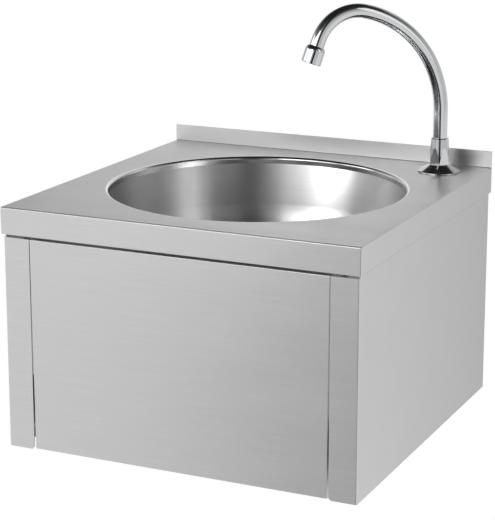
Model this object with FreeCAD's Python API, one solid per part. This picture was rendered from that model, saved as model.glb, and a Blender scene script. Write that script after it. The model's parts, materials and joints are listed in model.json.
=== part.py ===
import FreeCAD, Part
import math
import os

V = FreeCAD.Vector

# A wall-hung stainless hand wash basin worked with the knee, in millimetres.
# X runs to the user's right, Y from the user to the wall, and Z up.
# The origin is the middle of the four wall screws, on the face of the wall.

# Basin and casing
basin_width = 400.0
basin_depth = 400.0
apron_height = 29.0
upstand_height = 19.0
casing_height = 231.0          # below the apron
deck_above_screws = 150.0      # deck's top face above the origin
deck_sheet = 1.2
casing_sheet = 1.2
edge_radius = 1.5              # outside of a fold
upstand_radius = 1.0           # inside of the fold at the upstand's foot
lip_width = 18.0               # apron's inward fold
casing_inset = 2.4             # side wall behind the apron's face
front_inset = 2.3              # front behind the apron's face
strip_width = 30.0             # casing's fold beside the knee panel
strip_drop = 3.0               # shadow gap under the apron at the front
strip_notch = 2.5              # cut corner at the foot of the strip
rear_flange = 30.0
bottom_return = 12.0
screw_spacing_x = 364.0
screw_spacing_z = 160.0
screw_hole_radius = 4.5
rail_height = 40.0
rail_leg = 22.0

# Bowl
bowl_offset = 200.0            # bowl's axis from the wall
rim_radius = 164.0             # where the rim starts to roll over
rim_roll = 3.5
collar_depth = 8.0             # rolled rim's lower edge below the deck's top
bowl_sheet = 1.0
bowl_foot_radius = 148.0       # corner between wall and bottom, before its bend
bowl_bend = 70.0
bowl_wall_foot = 112.0         # that corner below the deck's top
bowl_depth = 120.0
recess_radius = 40.0
recess_depth = 6.0
recess_slope = 4.0             # recess wall leans in by this
recess_bend = 3.0              # bends at the recess's top and foot
recess_foot_bend = 2.0
drain_radius = 22.0

# Fastening of the casing under the deck
stud_radius = 2.5
stud_length = 12.0
stud_count = 3                 # on each side
stud_end_margin = 70.0
stud_play = 0.25               # radial, of a stud in its hole in the casing
nut_flats = 8.0
nut_height = 4.0
washer_radius = 5.5
washer_height = 1.0

# Fits
running = 0.05                 # radial, in a turning or sliding fit or a thread
seat_gap = 0.3                 # between a moving piece and its stop

# Knee panel
panel_gap_top = 0.3
panel_gap_bottom = 1.9
panel_lift = 1.0               # panel's lower edge above the strips' lower edge
panel_fold = 15.0
panel_edge_radius = 0.8
hinge_drop = 10.0              # hinge axis below the panel's top edge
hinge_setback = 9.2            # hinge axis behind the panel's face
rod_radius = 3.0
bush_radius = 5.0
bush_collar_radius = 7.0
bush_depth = 3.0               # in the panel's fold
bracket_sheet = 2.5
bracket_depth = 16.0
bracket_height = 18.0
bracket_foot = 2.0
bracket_foot_width = 16.0
bracket_offset = 8.5           # bracket's web outside the strip's edge
clip_sheet = 0.8
clip_radius = 5.5
clip_groove = 0.6
clip_mouth = 2.1               # half of the clip's open side
rod_end = 3.0                  # rod beyond the clip
stiffener_height = 30.0
stiffener_depth = 6.0
pad_radius = 12.0
pad_height = 3.0
tab_height = 20.0
tab_sheet = 1.5
tab_reach = 12.0               # behind the strip
buffer_height = 3.0
buffer_margin = 3.0            # from the strip's edge

# Knee valve, set along Y behind the panel
valve_x = 100.0
valve_above_foot = 40.0        # valve's axis above the lower edge of the casing
stroke = 7.5
button_radius = 11.0
button_dome = 30.0
button_height = 6.0
button_spare = 0.5             # left between button and gland at full stroke
stem_radius = 4.0
gland_head = 2.5
gland_head_radius = 11.5
gland_radius = 9.0
gland_length = 12.0
seal_level = 5.0               # stem seal's groove behind the gland's head
seal_groove = 2.2
neck_radius = 13.5
neck_spare = 1.5
locknut_height = 6.0
locknut_flats = 34.0
valve_washer_width = 5.0
rail_sheet = 1.5
valve_rail_height = 50.0
valve_rail_leg = 12.0
valve_rail_room = 8.0          # legs cut away round the valve's body
valve_radius = 17.0
front_chamber = 24.0
front_chamber_radius = 8.0
seat_wall = 4.0
seat_radius = 5.5
rear_chamber_radius = 10.5
poppet_seal = 1.5
poppet_radius = 8.5
poppet_height = 4.0
spring_length = 22.0           # as fitted
spring_radius = 6.5
wire_radius = 0.7
spring_turns = 7
spring_spigot = 3.0            # poppet's spigot inside the spring
spring_play = 0.3
spring_end_gap = 0.1
nipple_thread = 10.0
nipple_hex = 5.0
nipple_flats = 24.0
small_thread = 8.3             # half of a G3/8 thread's outer size
port_radius = 5.0
outlet_height = 32.0           # valve outlet's tip above the valve's axis
outlet_setback = 12.0          # from the rail's rear face
outlet_thread_length = 12.0
boss_wall = 2.0                # round the outlet's thread
boss_root = 1.5                # boss starts this far outside the front chamber
oring_radius = 1.0

# Mixer behind the knee valve
mixer_width = 82.0
mixer_depth = 34.0
mixer_height = 32.0
mixer_edge = 3.0
inlet_spacing = 56.0
inlet_thread_length = 14.0
chamber_radius = 9.0
drum_height = 18.0
drum_top_gap = 2.0
drum_floor = 3.0
chamber_top = 10.0             # chamber's roof above the valve's axis
spindle_radius = 3.0
mixer_neck = 6.0
mixer_neck_wall = 2.5
mixer_root = 4.0               # neck and legs run this far into the block
mixer_gland = 8.0
mixer_gland_head = 3.0
mixer_gland_flats = 22.0
mixer_gland_turn = 30.0        # degrees, so that flats face the inlets
knob_radius = 12.0
knob_height = 11.0
knob_gap = 2.0
knob_edge = 1.2
knob_flutes = 12
flute_radius = 1.4
flute_offset = 0.5             # flute's axis outside the knob
flute_top = 3.0
knob_wall = 3.0                # between the spindle and the screw's head
knob_screw_hole = 1.6
knob_screw_radius = 1.5
knob_screw_head = 2.8
knob_screw_length = 2.9
check_valve_length = 12.0
check_valve_wall = 1.5
check_disc_level = 4.0         # disc above the shell's foot
check_disc = 2.0
check_cross = 0.8              # half of a cross bar's width

# Spout
spout_from_side = 48.0
spout_from_wall = 42.5
spout_azimuth = 225.0          # towards the bowl, from +X
tube_radius = 8.0
tube_wall = 1.2
bend_start = 68.5              # above the deck
bend_radius = 118.0
bend_angle = 78.5
crook_radius = 46.5
spout_turn = 160.0             # whole turn, from straight up
mouth_straight = 26.0          # from the crook's end to the mouth
nozzle_radius = 10.9
nozzle_body = 14.0
nozzle_length = 19.5
nozzle_socket = 12.2           # tube's end above the mouth
nozzle_step = 0.6              # ledge that the tube's end rests on
aerator_radius = 9.1
aerator_length = 9.8
aerator_seal = 1.1
aerator_wall = 1.4
aerator_plate = 2.0
aerator_hole_radius = 0.9
aerator_rings = ((0.0, 1), (2.8, 6), (5.5, 12))    # radius, holes
aerator_seal_bore = 5.5
flange_radius = 24.0
flange_lip = 2.0
flange_height = 9.0
gasket_height = 1.0
nut_foot_radius = 12.1
nut_top_radius = 9.7
nut_length = 29.5
nut_hex_flats = 21.0
nut_hex_turn = 50.0            # one corner faces the user's right front
shank_radius = 10.4            # G1/2 thread
shank_hole_radius = 11.0
shank_shoulder_radius = 11.5
shank_shoulder = 2.5
shank_top = 26.0               # above the deck
shank_below = 55.0             # below the deck's top
shank_bore = 5.5
shank_socket_wall = 2.35
spigot_depth = 13.7
spigot_bore_step = 0.7         # spigot's bore inside the shank's
collar_radius = 9.6
collar_height = 3.6
collar_play = 0.2
spigot_plug = 8.0
spout_oring_radius = 0.65
oring_groove = 1.8
oring_low = 3.5                # grooves above the spigot's foot
oring_high = 8.5
shank_nut_height = 8.0
shank_nut_flats = 30.0
shank_washer_radius = 19.0
shank_washer_height = 2.0

# Hose between the valve and the spout, by its corner points: up, along, up
hose_radius = 6.0
hose_bore = 4.0
ferrule_radius = 7.5
ferrule_length = 17.5
ferrule_wall = 0.6             # of the tail's neck, outside the hose's bore
ferrule_gap = 0.3              # between nut and ferrule
tail_hole = 2.6
hose_nut_flats = 19.0
hose_nut_wall = 2.6
hose_nut_reach = 9.0           # nut over the thread
hose_nut_rim = 5.0             # flats beyond the thread's outer size
hose_seal = 1.5
hose_low_level = 25.0
hose_from_side = 35.0
hose_side_level = 15.0
hose_rear_level = 8.0

# Waste
strainer_radius = 32.0
strainer_height = 2.5
strainer_seal = 1.5
strainer_hole_radius = 2.8
strainer_rings = ((10.0, 6), (16.0, 10))           # radius, holes
spigot_radius = 21.0
spigot_wall = 2.0
spigot_length = 7.5
waste_seal = 3.0
waste_flange_radius = 33.0
waste_flange = 3.0
cup_radius = 24.0
cup_depth = 17.0
tail_radius = 20.95            # half of a G1 1/4 thread's outer size
tail_bore = 17.5
tail_length = 24.0
waste_screw_radius = 3.0
waste_screw_head = 6.0
waste_screw_cone = 2.2
screw_slot = 1.2
waste_wall = 2.5
web_height = 8.0
web_width = 10.0

# Bottle trap
trap_seal = 3.0
trap_nut_radius = 26.0
trap_nut_height = 20.0
trap_nut_lip = 2.0
trap_neck_radius = 18.7
trap_neck_bore = 16.0
trap_neck = 7.0
trap_radius = 31.0
trap_wall = 2.5
trap_height = 52.0
trap_outlet_drop = 18.0        # outlet's axis below the trap's shoulder
dip_below_body = 9.0
cup_skirt = 12.0
trap_cup_radius = 34.0
trap_cup_height = 20.0
trap_cup_seal = 2.0
cup_lugs = 12
cup_floor_wall = 3.0
pipe_radius = 16.0
pipe_wall = 1.5
outlet_reach = 62.0            # from the trap's axis to the outlet's mouth
outlet_socket = 20.0
outlet_seal = 3.0
outlet_nut_length = 19.0
outlet_nut_lip = 3.5
nut_ribs = 16
rib_radius = 1.5
pipe_bead = 45.0               # stop bead from the pipe's end at the wall
bead_radius = 17.2
bead_width = 3.0

# Levels and places that follow from the sizes
half = basin_width / 2
deck_top = deck_above_screws
deck_under = deck_top - deck_sheet
apron_foot = deck_top - apron_height
casing_foot = apron_foot - casing_height
side_face = half - casing_inset
front_face = -basin_depth + front_inset
strip_edge = side_face - strip_width
front_top = apron_foot - strip_drop
bowl_y = -bowl_offset

panel_foot = casing_foot + panel_lift
panel_inner = front_face + casing_sheet
hinge_y = front_face + hinge_setback
hinge_z = front_top - hinge_drop
valve_z = casing_foot + valve_above_foot
stiffener_back = panel_inner + stiffener_depth
pad_back = stiffener_back + pad_height

button_front = pad_back + seat_gap
button_back = button_front + button_height
gland_front = button_back + stroke + button_spare
neck_front = gland_front + gland_head
rail_front = neck_front + neck_spare + locknut_height + washer_height
valve_shoulder = rail_front + rail_sheet
seat_front = valve_shoulder + front_chamber
seat_back = seat_front + seat_wall
disc_front = seat_back + poppet_seal
disc_back = disc_front + poppet_height
nipple_front = disc_back + spring_length
valve_back = nipple_front + nipple_thread
mixer_front = valve_back + nipple_hex
mixer_y = mixer_front + mixer_depth / 2
mixer_thread = mixer_depth / 2 - chamber_radius - 1
outlet_y = valve_shoulder + outlet_setback
outlet_tip = valve_z + outlet_height
mixer_foot = valve_z - mixer_height / 2

spout_right = half - spout_from_side
spout_y = -spout_from_wall
hose_side = half - hose_from_side
shank_foot = deck_top - shank_below
shank_rim = deck_top + shank_top
collar_foot = shank_rim + collar_play
collar_head = collar_foot + collar_height

recess_floor = deck_top - bowl_depth - recess_depth
strainer_under = recess_floor + strainer_seal
strainer_top = strainer_under + strainer_height
waste_top = recess_floor - bowl_sheet - waste_seal
cup_top = waste_top - waste_flange
cup_floor = cup_top - cup_depth
tail_foot = cup_floor - tail_length
trap_top = tail_foot - trap_seal
trap_shoulder = trap_top - trap_neck
trap_foot = trap_shoulder - trap_height
outlet_z = trap_shoulder - trap_outlet_drop
outlet_mouth = bowl_y + outlet_reach


def box(x0, x1, y0, y1, z0, z1):
    return Part.makeBox(x1 - x0, y1 - y0, z1 - z0, V(x0, y0, z0))


def rod(radius, z0, z1, x=0.0, y=0.0):
    return Part.makeCylinder(radius, z1 - z0, V(x, y, z0))


def ring(outer, inner, z0, z1, x=0.0, y=0.0):
    return rod(outer, z0, z1, x, y).cut(rod(inner, z0 - 1, z1 + 1, x, y))


def turned(outline, x=0.0, y=0.0):
    """Solid of revolution about a vertical axis, from its (radius, height) outline."""
    points = [V(r, 0, z) for r, z in outline]
    solid = Part.Face(Part.makePolygon(points + points[:1])).revolve(V(), V(0, 0, 1), 360)
    solid.translate(V(x, y, 0))
    return solid


def prism(outline, z0, z1):
    """Upright prism over a closed (x, y) outline."""
    points = [V(x, y, z0) for x, y in outline]
    return Part.Face(Part.makePolygon(points + points[:1])).extrude(V(0, 0, z1 - z0))


def hexagon(flats, z0, z1, turn=0.0):
    corner = flats / 2 / math.cos(math.pi / 6)
    angles = [math.radians(turn + 60 * k) for k in range(6)]
    return prism([(corner * math.cos(a), corner * math.sin(a)) for a in angles], z0, z1)


def placed(shape, x, y):
    moved = shape.copy()
    moved.translate(V(x, y, 0))
    return moved


def along_y(shape, x, z):
    """Lays an upright shape back, so that its heights become distances along Y."""
    laid = shape.copy()
    laid.rotate(V(), V(1, 0, 0), -90)
    laid.translate(V(x, 0, z))
    return laid


def along_x(shape, y, z):
    """Lays an upright shape over, so that its heights become distances along X."""
    laid = shape.copy()
    laid.rotate(V(), V(0, 1, 0), 90)
    laid.translate(V(0, y, z))
    return laid


def mirrored(shape):
    return shape.mirror(V(), V(1, 0, 0))


def both_sides(shape):
    return Part.makeCompound([shape, mirrored(shape)])


def united(first, *others):
    return first.fuse(list(others)).removeSplitter()


def edges_where(shape, keep):
    """Edges whose two ends both lie where keep(point) is true."""
    found = []
    for edge in shape.Edges:
        ends = [vertex.Point for vertex in edge.Vertexes]
        if len(ends) == 2 and all(keep(point) for point in ends):
            found.append(edge)
    return found


def near(a, b):
    return abs(a - b) < 0.01


def deck():
    front = -basin_depth
    body = box(-half, half, front, 0, apron_foot, deck_top)
    outer = edges_where(body, lambda p: near(p.y, front) or near(p.x, half))
    outer += edges_where(body, lambda p: near(p.x, -half))
    folds = [e for e in outer if not all(near(v.Point.y, 0) for v in e.Vertexes)]
    unique = []
    for edge in folds:
        if not any(edge.isSame(other) for other in unique):
            unique.append(edge)
    body = body.makeFillet(edge_radius, unique)
    cavity = box(-half + deck_sheet, half - deck_sheet, front + deck_sheet, 1,
                 apron_foot + deck_sheet, deck_under)
    opening = box(-half + lip_width, half - lip_width, front + lip_width, 1,
                  apron_foot - 1, deck_under)
    body = body.cut(cavity).cut(opening)
    upstand = box(-half, half, -deck_sheet, 0, deck_under, deck_top + upstand_height)
    # the inside of the fold at the upstand's foot
    r, flat = upstand_radius, half - edge_radius
    fold = box(-flat, flat, -deck_sheet - r, -deck_sheet, deck_top, deck_top + r)
    fold = fold.cut(along_x(rod(r, -half, half), -deck_sheet - r, deck_top + r))
    body = united(body, upstand, fold)
    body = body.cut(rod(rim_radius, apron_foot, deck_top + 1, 0, bowl_y))
    body = body.cut(rod(shank_hole_radius, deck_under - 1, deck_top + 1, spout_right, spout_y))
    return united(body, rolled_rim())


def rolled_rim():
    """Edge of the bowl's hole, rolled down into a short collar."""
    low = deck_top - rim_roll
    foot = deck_top - collar_depth
    inner = rim_radius - rim_roll
    turn = math.radians(135)
    upper = Part.Arc(V(rim_radius, 0, deck_top),
                     V(rim_radius + rim_roll * math.cos(turn), 0, low + rim_roll * math.sin(turn)),
                     V(inner, 0, low)).toShape()
    under = rim_roll - deck_sheet
    lower = Part.Arc(V(inner + deck_sheet, 0, low),
                     V(rim_radius + under * math.cos(turn), 0, low + under * math.sin(turn)),
                     V(rim_radius, 0, deck_under)).toShape()
    sides = [
        Part.makeLine(V(inner, 0, low), V(inner, 0, foot)),
        Part.makeLine(V(inner, 0, foot), V(inner + deck_sheet, 0, foot)),
        Part.makeLine(V(inner + deck_sheet, 0, foot), V(inner + deck_sheet, 0, low)),
        Part.makeLine(V(rim_radius, 0, deck_under), V(rim_radius, 0, deck_top)),
    ]
    wire = Part.Wire([upper, sides[0], sides[1], sides[2], lower, sides[3]])
    rim = Part.Face(wire).revolve(V(), V(0, 0, 1), 360)
    rim.translate(V(0, bowl_y, 0))
    return rim


def offset_line(points, distance):
    """Open polyline moved sideways, to the right of its direction, mitred at its corners."""
    moved = []
    for i, point in enumerate(points):
        normals = []
        for a, b in ((i - 1, i), (i, i + 1)):
            if a >= 0 and b < len(points):
                run = (points[b][0] - points[a][0], points[b][1] - points[a][1])
                size = math.hypot(*run)
                normals.append((run[1] / size, -run[0] / size))
        first, last = normals[0], normals[-1]
        scale = distance / (1 + first[0] * last[0] + first[1] * last[1])
        if len(normals) == 1:
            scale = distance / 2
        moved.append((point[0] + (first[0] + last[0]) * scale,
                      point[1] + (first[1] + last[1]) * scale))
    return moved


def rounded_line(points, radii):
    """Edges of an open (radius, height) polyline, with an arc at each inner corner."""
    edges = []
    start = V(points[0][0], 0, points[0][1])
    for i in range(1, len(points) - 1):
        corner = V(points[i][0], 0, points[i][1])
        back = (V(points[i - 1][0], 0, points[i - 1][1]) - corner).normalize()
        ahead = (V(points[i + 1][0], 0, points[i + 1][1]) - corner).normalize()
        half_angle = back.getAngle(ahead) / 2
        reach = radii[i - 1] / math.tan(half_angle)
        middle = corner + (back + ahead).normalize() * (radii[i - 1] / math.sin(half_angle) - radii[i - 1])
        edges.append(Part.makeLine(start, corner + back * reach))
        edges.append(Part.Arc(corner + back * reach, middle, corner + ahead * reach).toShape())
        start = corner + ahead * reach
    edges.append(Part.makeLine(start, V(points[-1][0], 0, points[-1][1])))
    return edges


def bowl():
    wet = [
        (rim_radius - rim_roll, deck_top - collar_depth),
        (bowl_foot_radius, deck_top - bowl_wall_foot),
        (recess_radius, deck_top - bowl_depth),
        (recess_radius - recess_slope, recess_floor),
        (drain_radius, recess_floor),
    ]
    dry = offset_line(wet, -bowl_sheet)
    top = (wet[0][0] + bowl_sheet, wet[0][1])
    dry[0] = top
    inside = rounded_line(wet, [bowl_bend, recess_bend, recess_foot_bend])
    outside = rounded_line(dry, [bowl_bend + bowl_sheet, recess_bend - bowl_sheet,
                                 recess_foot_bend + bowl_sheet])
    ends = [
        Part.makeLine(V(wet[0][0], 0, wet[0][1]), V(top[0], 0, top[1])),
        Part.makeLine(V(wet[-1][0], 0, wet[-1][1]), V(dry[-1][0], 0, dry[-1][1])),
    ]
    wire = Part.Wire(Part.__sortEdges__(inside + outside + ends))
    shell = Part.Face(wire).revolve(V(), V(0, 0, 1), 360)
    shell.translate(V(0, bowl_y, 0))
    return shell


def casing_side():
    """Right half of the casing: wall, front strip, rear flange and folds."""
    t = casing_sheet
    x, y = side_face, front_face
    outline = [(x - rear_flange, 0), (x, 0), (x, y), (strip_edge, y), (strip_edge, y + t),
               (x - t, y + t), (x - t, -t), (x - rear_flange, -t)]
    wall = prism(outline, casing_foot, apron_foot)
    corners = edges_where(wall, lambda p: near(p.x, x) and (near(p.y, 0) or near(p.y, y)))
    upright = [e for e in corners if near(e.Vertexes[0].Point.y, e.Vertexes[1].Point.y)]
    wall = wall.makeFillet(edge_radius, upright)
    fold = 2 * edge_radius
    front_cut = box(strip_edge - 1, x + 1, y - 1, y + fold, front_top, apron_foot + 1)
    notch = Part.Face(Part.makePolygon([
        V(strip_edge, y - 1, casing_foot), V(strip_edge + strip_notch, y - 1, casing_foot),
        V(strip_edge, y - 1, casing_foot + strip_notch), V(strip_edge, y - 1, casing_foot)]))
    wall = wall.cut(front_cut).cut(notch.extrude(V(0, t + 2, 0)))
    margin = strip_width
    top_fold = box(x - lip_width, x - t / 2, y + margin, -margin, apron_foot - t, apron_foot)
    foot_fold = box(x - bottom_return, x - t / 2, y + margin, -margin, casing_foot, casing_foot + t)
    wall = united(wall, top_fold, foot_fold)
    for z in (-screw_spacing_z / 2, screw_spacing_z / 2):
        wall = wall.cut(along_y(rod(screw_hole_radius, -t - 1, 1), screw_spacing_x / 2, z))
    for stud_y in stud_places():
        wall = wall.cut(rod(stud_radius + stud_play, apron_foot - t - 1, apron_foot + 1, stud_x(), stud_y))
    return wall


def stud_x():
    return side_face - lip_width / 2


def stud_places():
    run = basin_depth - 2 * stud_end_margin
    return [-stud_end_margin - run * k / (stud_count - 1) for k in range(stud_count)]


def at_studs(shape):
    places = [placed(shape, side * stud_x(), y) for side in (-1, 1) for y in stud_places()]
    return Part.makeCompound(places)


def lip_studs():
    return at_studs(rod(stud_radius, apron_foot - stud_length, apron_foot))


def lip_washers():
    top = apron_foot - casing_sheet
    return at_studs(ring(washer_radius, stud_radius + running, top - washer_height, top))


def lip_nuts():
    top = apron_foot - casing_sheet - washer_height
    nut = hexagon(nut_flats, top - nut_height, top)
    return at_studs(nut.cut(rod(stud_radius + running, top - nut_height - 1, top + 1)))


def rear_rail():
    """Angle under the deck's rear edge, between the casing's rear flanges."""
    reach = side_face - rear_flange
    web = box(-reach, reach, -casing_sheet, 0, deck_under - rail_height, deck_under)
    leg = box(-reach, reach, -rail_leg, 0, deck_under - casing_sheet, deck_under)
    return united(web, leg)


def valve_rail():
    """Channel across the casing that carries the knee valve."""
    reach = side_face - casing_sheet
    low, high = valve_z - valve_rail_height / 2, valve_z + valve_rail_height / 2
    back = rail_front + valve_rail_leg
    channel = box(-reach, reach, rail_front, back, low, high)
    hollow = box(-reach - 1, reach + 1, valve_shoulder, back + 1, low + rail_sheet, high - rail_sheet)
    channel = channel.cut(hollow)
    # the legs are cut away round the valve and its outlet
    room = valve_radius + valve_rail_room
    channel = channel.cut(box(valve_x - room, valve_x + room, valve_shoulder, back + 1, low - 1, high + 1))
    hole = along_y(rod(neck_radius + running, rail_front - 1, valve_shoulder + 1), valve_x, valve_z)
    return channel.cut(hole)


def half_width(z):
    """Knee panel's half width, which narrows towards its foot."""
    share = (front_top - z) / (front_top - panel_foot)
    return strip_edge - panel_gap_top - (panel_gap_bottom - panel_gap_top) * share


def knee_panel():
    top, foot, t = front_top, panel_foot, casing_sheet

    def slab(y0, y1, inset):
        points = [V(side * (half_width(z) - inset), y0, z + step * inset)
                  for side, z, step in ((-1, top, -1), (1, top, -1), (1, foot, 1), (-1, foot, 1))]
        return Part.Face(Part.makePolygon(points + points[:1])).extrude(V(0, y1 - y0, 0))

    panel = slab(front_face, front_face + panel_fold, 0)
    rim = edges_where(panel, lambda p: near(p.y, front_face))
    panel = panel.makeFillet(panel_edge_radius, rim)
    panel = panel.cut(slab(panel_inner, front_face + panel_fold + 1, t))
    return panel.cut(along_x(rod(bush_radius + running, -half, half), hinge_y, hinge_z))


def panel_stiffener():
    """Channel across the panel's inside, where the knee's push is passed on."""
    low, high = valve_z - stiffener_height / 2, valve_z + stiffener_height / 2
    reach = half_width(low) - casing_sheet - seat_gap
    t = casing_sheet
    bar = box(-reach, reach, panel_inner, stiffener_back, low, high)
    return bar.cut(box(-reach - 1, reach + 1, panel_inner - 1, stiffener_back - t, low + t, high - t))


def push_pad():
    return along_y(rod(pad_radius, stiffener_back, pad_back), valve_x, valve_z)


def stop_tabs():
    """Tabs on the panel's sides that rest behind the strips."""
    low = panel_foot + 2 * tab_height
    root = half_width(low + tab_height)
    leg = box(root, root + tab_sheet, panel_inner + buffer_height + seat_gap,
              front_face + panel_fold, low, low + tab_height)
    wing = box(root, strip_edge + tab_reach, panel_inner + buffer_height + seat_gap,
               panel_inner + buffer_height + seat_gap + tab_sheet, low, low + tab_height)
    return both_sides(united(leg, wing))


def stop_buffers():
    low = panel_foot + 2 * tab_height
    return both_sides(box(strip_edge + buffer_margin, strip_edge + tab_reach, panel_inner,
                          panel_inner + buffer_height, low, low + tab_height))


def bracket_inner():
    return strip_edge + bracket_offset


def hinge_brackets():
    """Angles behind the strips that hold the ends of the hinge rod."""
    low = hinge_z - bracket_height / 2
    x = bracket_inner()
    web = box(x, x + bracket_sheet, panel_inner, panel_inner + bracket_depth, low, low + bracket_height)
    foot = box(x, x + bracket_foot_width, panel_inner, panel_inner + bracket_foot, low, low + bracket_height)
    bracket = united(web, foot)
    bracket = bracket.cut(along_x(rod(rod_radius + running, x - 1, x + bracket_sheet + 1), hinge_y, hinge_z))
    return both_sides(bracket)


def clip_inner():
    return bracket_inner() + bracket_sheet + seat_gap


def hinge_rod():
    reach = clip_inner() + clip_sheet + rod_end
    bar = rod(rod_radius, -reach, reach)
    groove = ring(rod_radius + 1, rod_radius - clip_groove, clip_inner(), clip_inner() + clip_sheet)
    bar = bar.cut(groove).cut(groove.mirror(V(), V(0, 0, 1)))
    return along_x(bar, hinge_y, hinge_z)


def hinge_clips():
    clip = ring(clip_radius, rod_radius - clip_groove + running, clip_inner() + running,
                clip_inner() + clip_sheet - running)
    mouth = box(0, clip_radius + 1, -clip_mouth, clip_mouth, 0, clip_inner() + 2)
    return both_sides(along_x(clip.cut(mouth), hinge_y, hinge_z))


def hinge_bushes():
    """Plastic bushes in the panel's folds, with a collar that centres the panel."""
    fold_face = half_width(hinge_z - bush_collar_radius) + 2 * running
    barrel = ring(bush_radius, rod_radius + running, fold_face - bush_depth, fold_face + 1)
    collar = ring(bush_collar_radius, rod_radius + running, fold_face, bracket_inner() - seat_gap)
    return both_sides(along_x(united(barrel, collar), hinge_y, hinge_z))


def valve_part(outline):
    """Turned piece on the knee valve's axis, from (radius, y)."""
    return along_y(turned(outline), valve_x, valve_z)


def knee_valve_body():
    body = turned([
        (gland_radius, neck_front), (neck_radius, neck_front), (neck_radius, valve_shoulder),
        (valve_radius, valve_shoulder), (valve_radius, valve_back), (rear_chamber_radius, valve_back),
        (rear_chamber_radius, seat_back), (seat_radius, seat_back), (seat_radius, seat_front),
        (front_chamber_radius, seat_front), (front_chamber_radius, neck_front + gland_length),
        (gland_radius, neck_front + gland_length)])
    body = along_y(body, valve_x, valve_z)
    wall = front_chamber_radius + boss_root
    boss = rod(small_thread + boss_wall, valve_z + wall, outlet_tip - outlet_thread_length, valve_x, outlet_y)
    stub = rod(small_thread, valve_z + wall, outlet_tip, valve_x, outlet_y)
    port = rod(port_radius, valve_z, outlet_tip + 1, valve_x, outlet_y)
    return united(body, boss, stub).cut(port)


def valve_gland():
    inner = stem_radius + running
    groove = neck_front + seal_level
    return valve_part([
        (inner, gland_front), (gland_head_radius, gland_front), (gland_head_radius, neck_front),
        (gland_radius - running, neck_front), (gland_radius - running, neck_front + gland_length),
        (inner, neck_front + gland_length), (inner, groove + seal_groove),
        (stem_radius + 2 * oring_radius, groove + seal_groove),
        (stem_radius + 2 * oring_radius, groove), (inner, groove)])


def valve_stem_seal():
    centre = neck_front + seal_level + seal_groove / 2
    seal = Part.makeTorus(stem_radius + oring_radius + 0.02, oring_radius - 0.04, V(0, 0, centre))
    return along_y(seal, valve_x, valve_z)


def valve_washer():
    return valve_part([(neck_radius + running, rail_front - washer_height),
                       (neck_radius + valve_washer_width, rail_front - washer_height),
                       (neck_radius + valve_washer_width, rail_front), (neck_radius + running, rail_front)])


def valve_locknut():
    high = rail_front - washer_height
    nut = hexagon(locknut_flats, high - locknut_height, high)
    nut = nut.cut(rod(neck_radius + running, high - locknut_height - 1, high + 1))
    return along_y(nut, valve_x, valve_z)


def valve_button():
    """Domed push cap and the stem that carries the poppet."""
    cap = rod(button_radius, button_front, button_back)
    dome = Part.makeSphere(button_dome, V(0, 0, button_front + button_dome))
    cap = cap.common(dome)
    stem = rod(stem_radius, button_back - 1, disc_front - poppet_seal / 2)
    pin = rod(stem_radius - 1, button_back - 1, disc_back)
    return along_y(united(cap, stem, pin), valve_x, valve_z)


def poppet():
    hole = stem_radius - 1 + running
    spigot = spring_radius - wire_radius - spring_play
    return valve_part([(hole, disc_front), (poppet_radius, disc_front), (poppet_radius, disc_back),
                       (spigot, disc_back), (spigot, disc_back + spring_spigot),
                       (hole, disc_back + spring_spigot)])


def poppet_seal_ring():
    return valve_part([(stem_radius + running, seat_back), (poppet_radius - 0.5, seat_back),
                       (poppet_radius - 0.5, disc_front), (stem_radius + running, disc_front)])


def tangent_arc(start, end, direction):
    """Arc from start to end that leaves start along direction."""
    chord = end - start
    side = direction - chord * (direction.dot(chord) / chord.dot(chord))
    angle = direction.getAngle(chord)
    middle = start + chord * 0.5 + side.normalize() * (chord.Length / 2 * math.tan(angle / 2))
    return Part.Arc(start, middle, end).toShape()


def coil(radius, wire, turns, z0, z1):
    """Spring on a vertical axis: a tube along pairs of tangent arcs, a quarter turn each pair."""
    rise = (z1 - z0) / (2 * math.pi * turns)

    def point(a):
        return V(radius * math.cos(a), radius * math.sin(a), z0 + rise * a)

    def heading(a):
        return V(-radius * math.sin(a), radius * math.cos(a), rise).normalize()

    edges = []
    for k in range(4 * turns):
        a, b = k * math.pi / 2, (k + 1) * math.pi / 2
        p, q, s, t = point(a), point(b), heading(a), heading(b)
        run, both = q - p, s + t
        spread = 2 * (1 - s.dot(t))
        arm = (math.sqrt(run.dot(both) ** 2 + spread * run.dot(run)) - run.dot(both)) / spread
        joint = (p + s * arm + q - t * arm) * 0.5
        middle_heading = (q - t * arm - p - s * arm).normalize()
        edges.append(tangent_arc(p, joint, s))
        edges.append(tangent_arc(joint, q, middle_heading))
    points = [point(math.radians(10 * k)) for k in range(36 * turns + 1)]
    least = min((points[i] - points[j]).Length for i in range(len(points))
                for j in range(i + 18, min(i + 55, len(points))))
    print("spring's least gap to itself", round(least - 2 * wire, 2))
    section = Part.Wire([Part.makeCircle(wire, point(0), heading(0))])
    return Part.Wire(edges).makePipeShell([section], True, False)


def valve_spring():
    spring = coil(spring_radius, wire_radius, spring_turns, disc_back + wire_radius + spring_end_gap,
                  nipple_front - wire_radius - spring_end_gap)
    return along_y(spring, valve_x, valve_z)


def valve_nipple():
    """Joins the valve to the mixer, and carries the spring."""
    thread = mixer_front + mixer_thread
    outer = turned([
        (port_radius, nipple_front), (rear_chamber_radius - running, nipple_front),
        (rear_chamber_radius - running, valve_back), (small_thread, valve_back),
        (small_thread, thread), (port_radius, thread)])
    grip = hexagon(nipple_flats, valve_back, mixer_front)
    grip = grip.cut(rod(port_radius, valve_back - 1, mixer_front + 1))
    return along_y(united(outer, grip), valve_x, valve_z)


def inlet_places():
    return [valve_x - inlet_spacing / 2, valve_x + inlet_spacing / 2]


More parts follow.
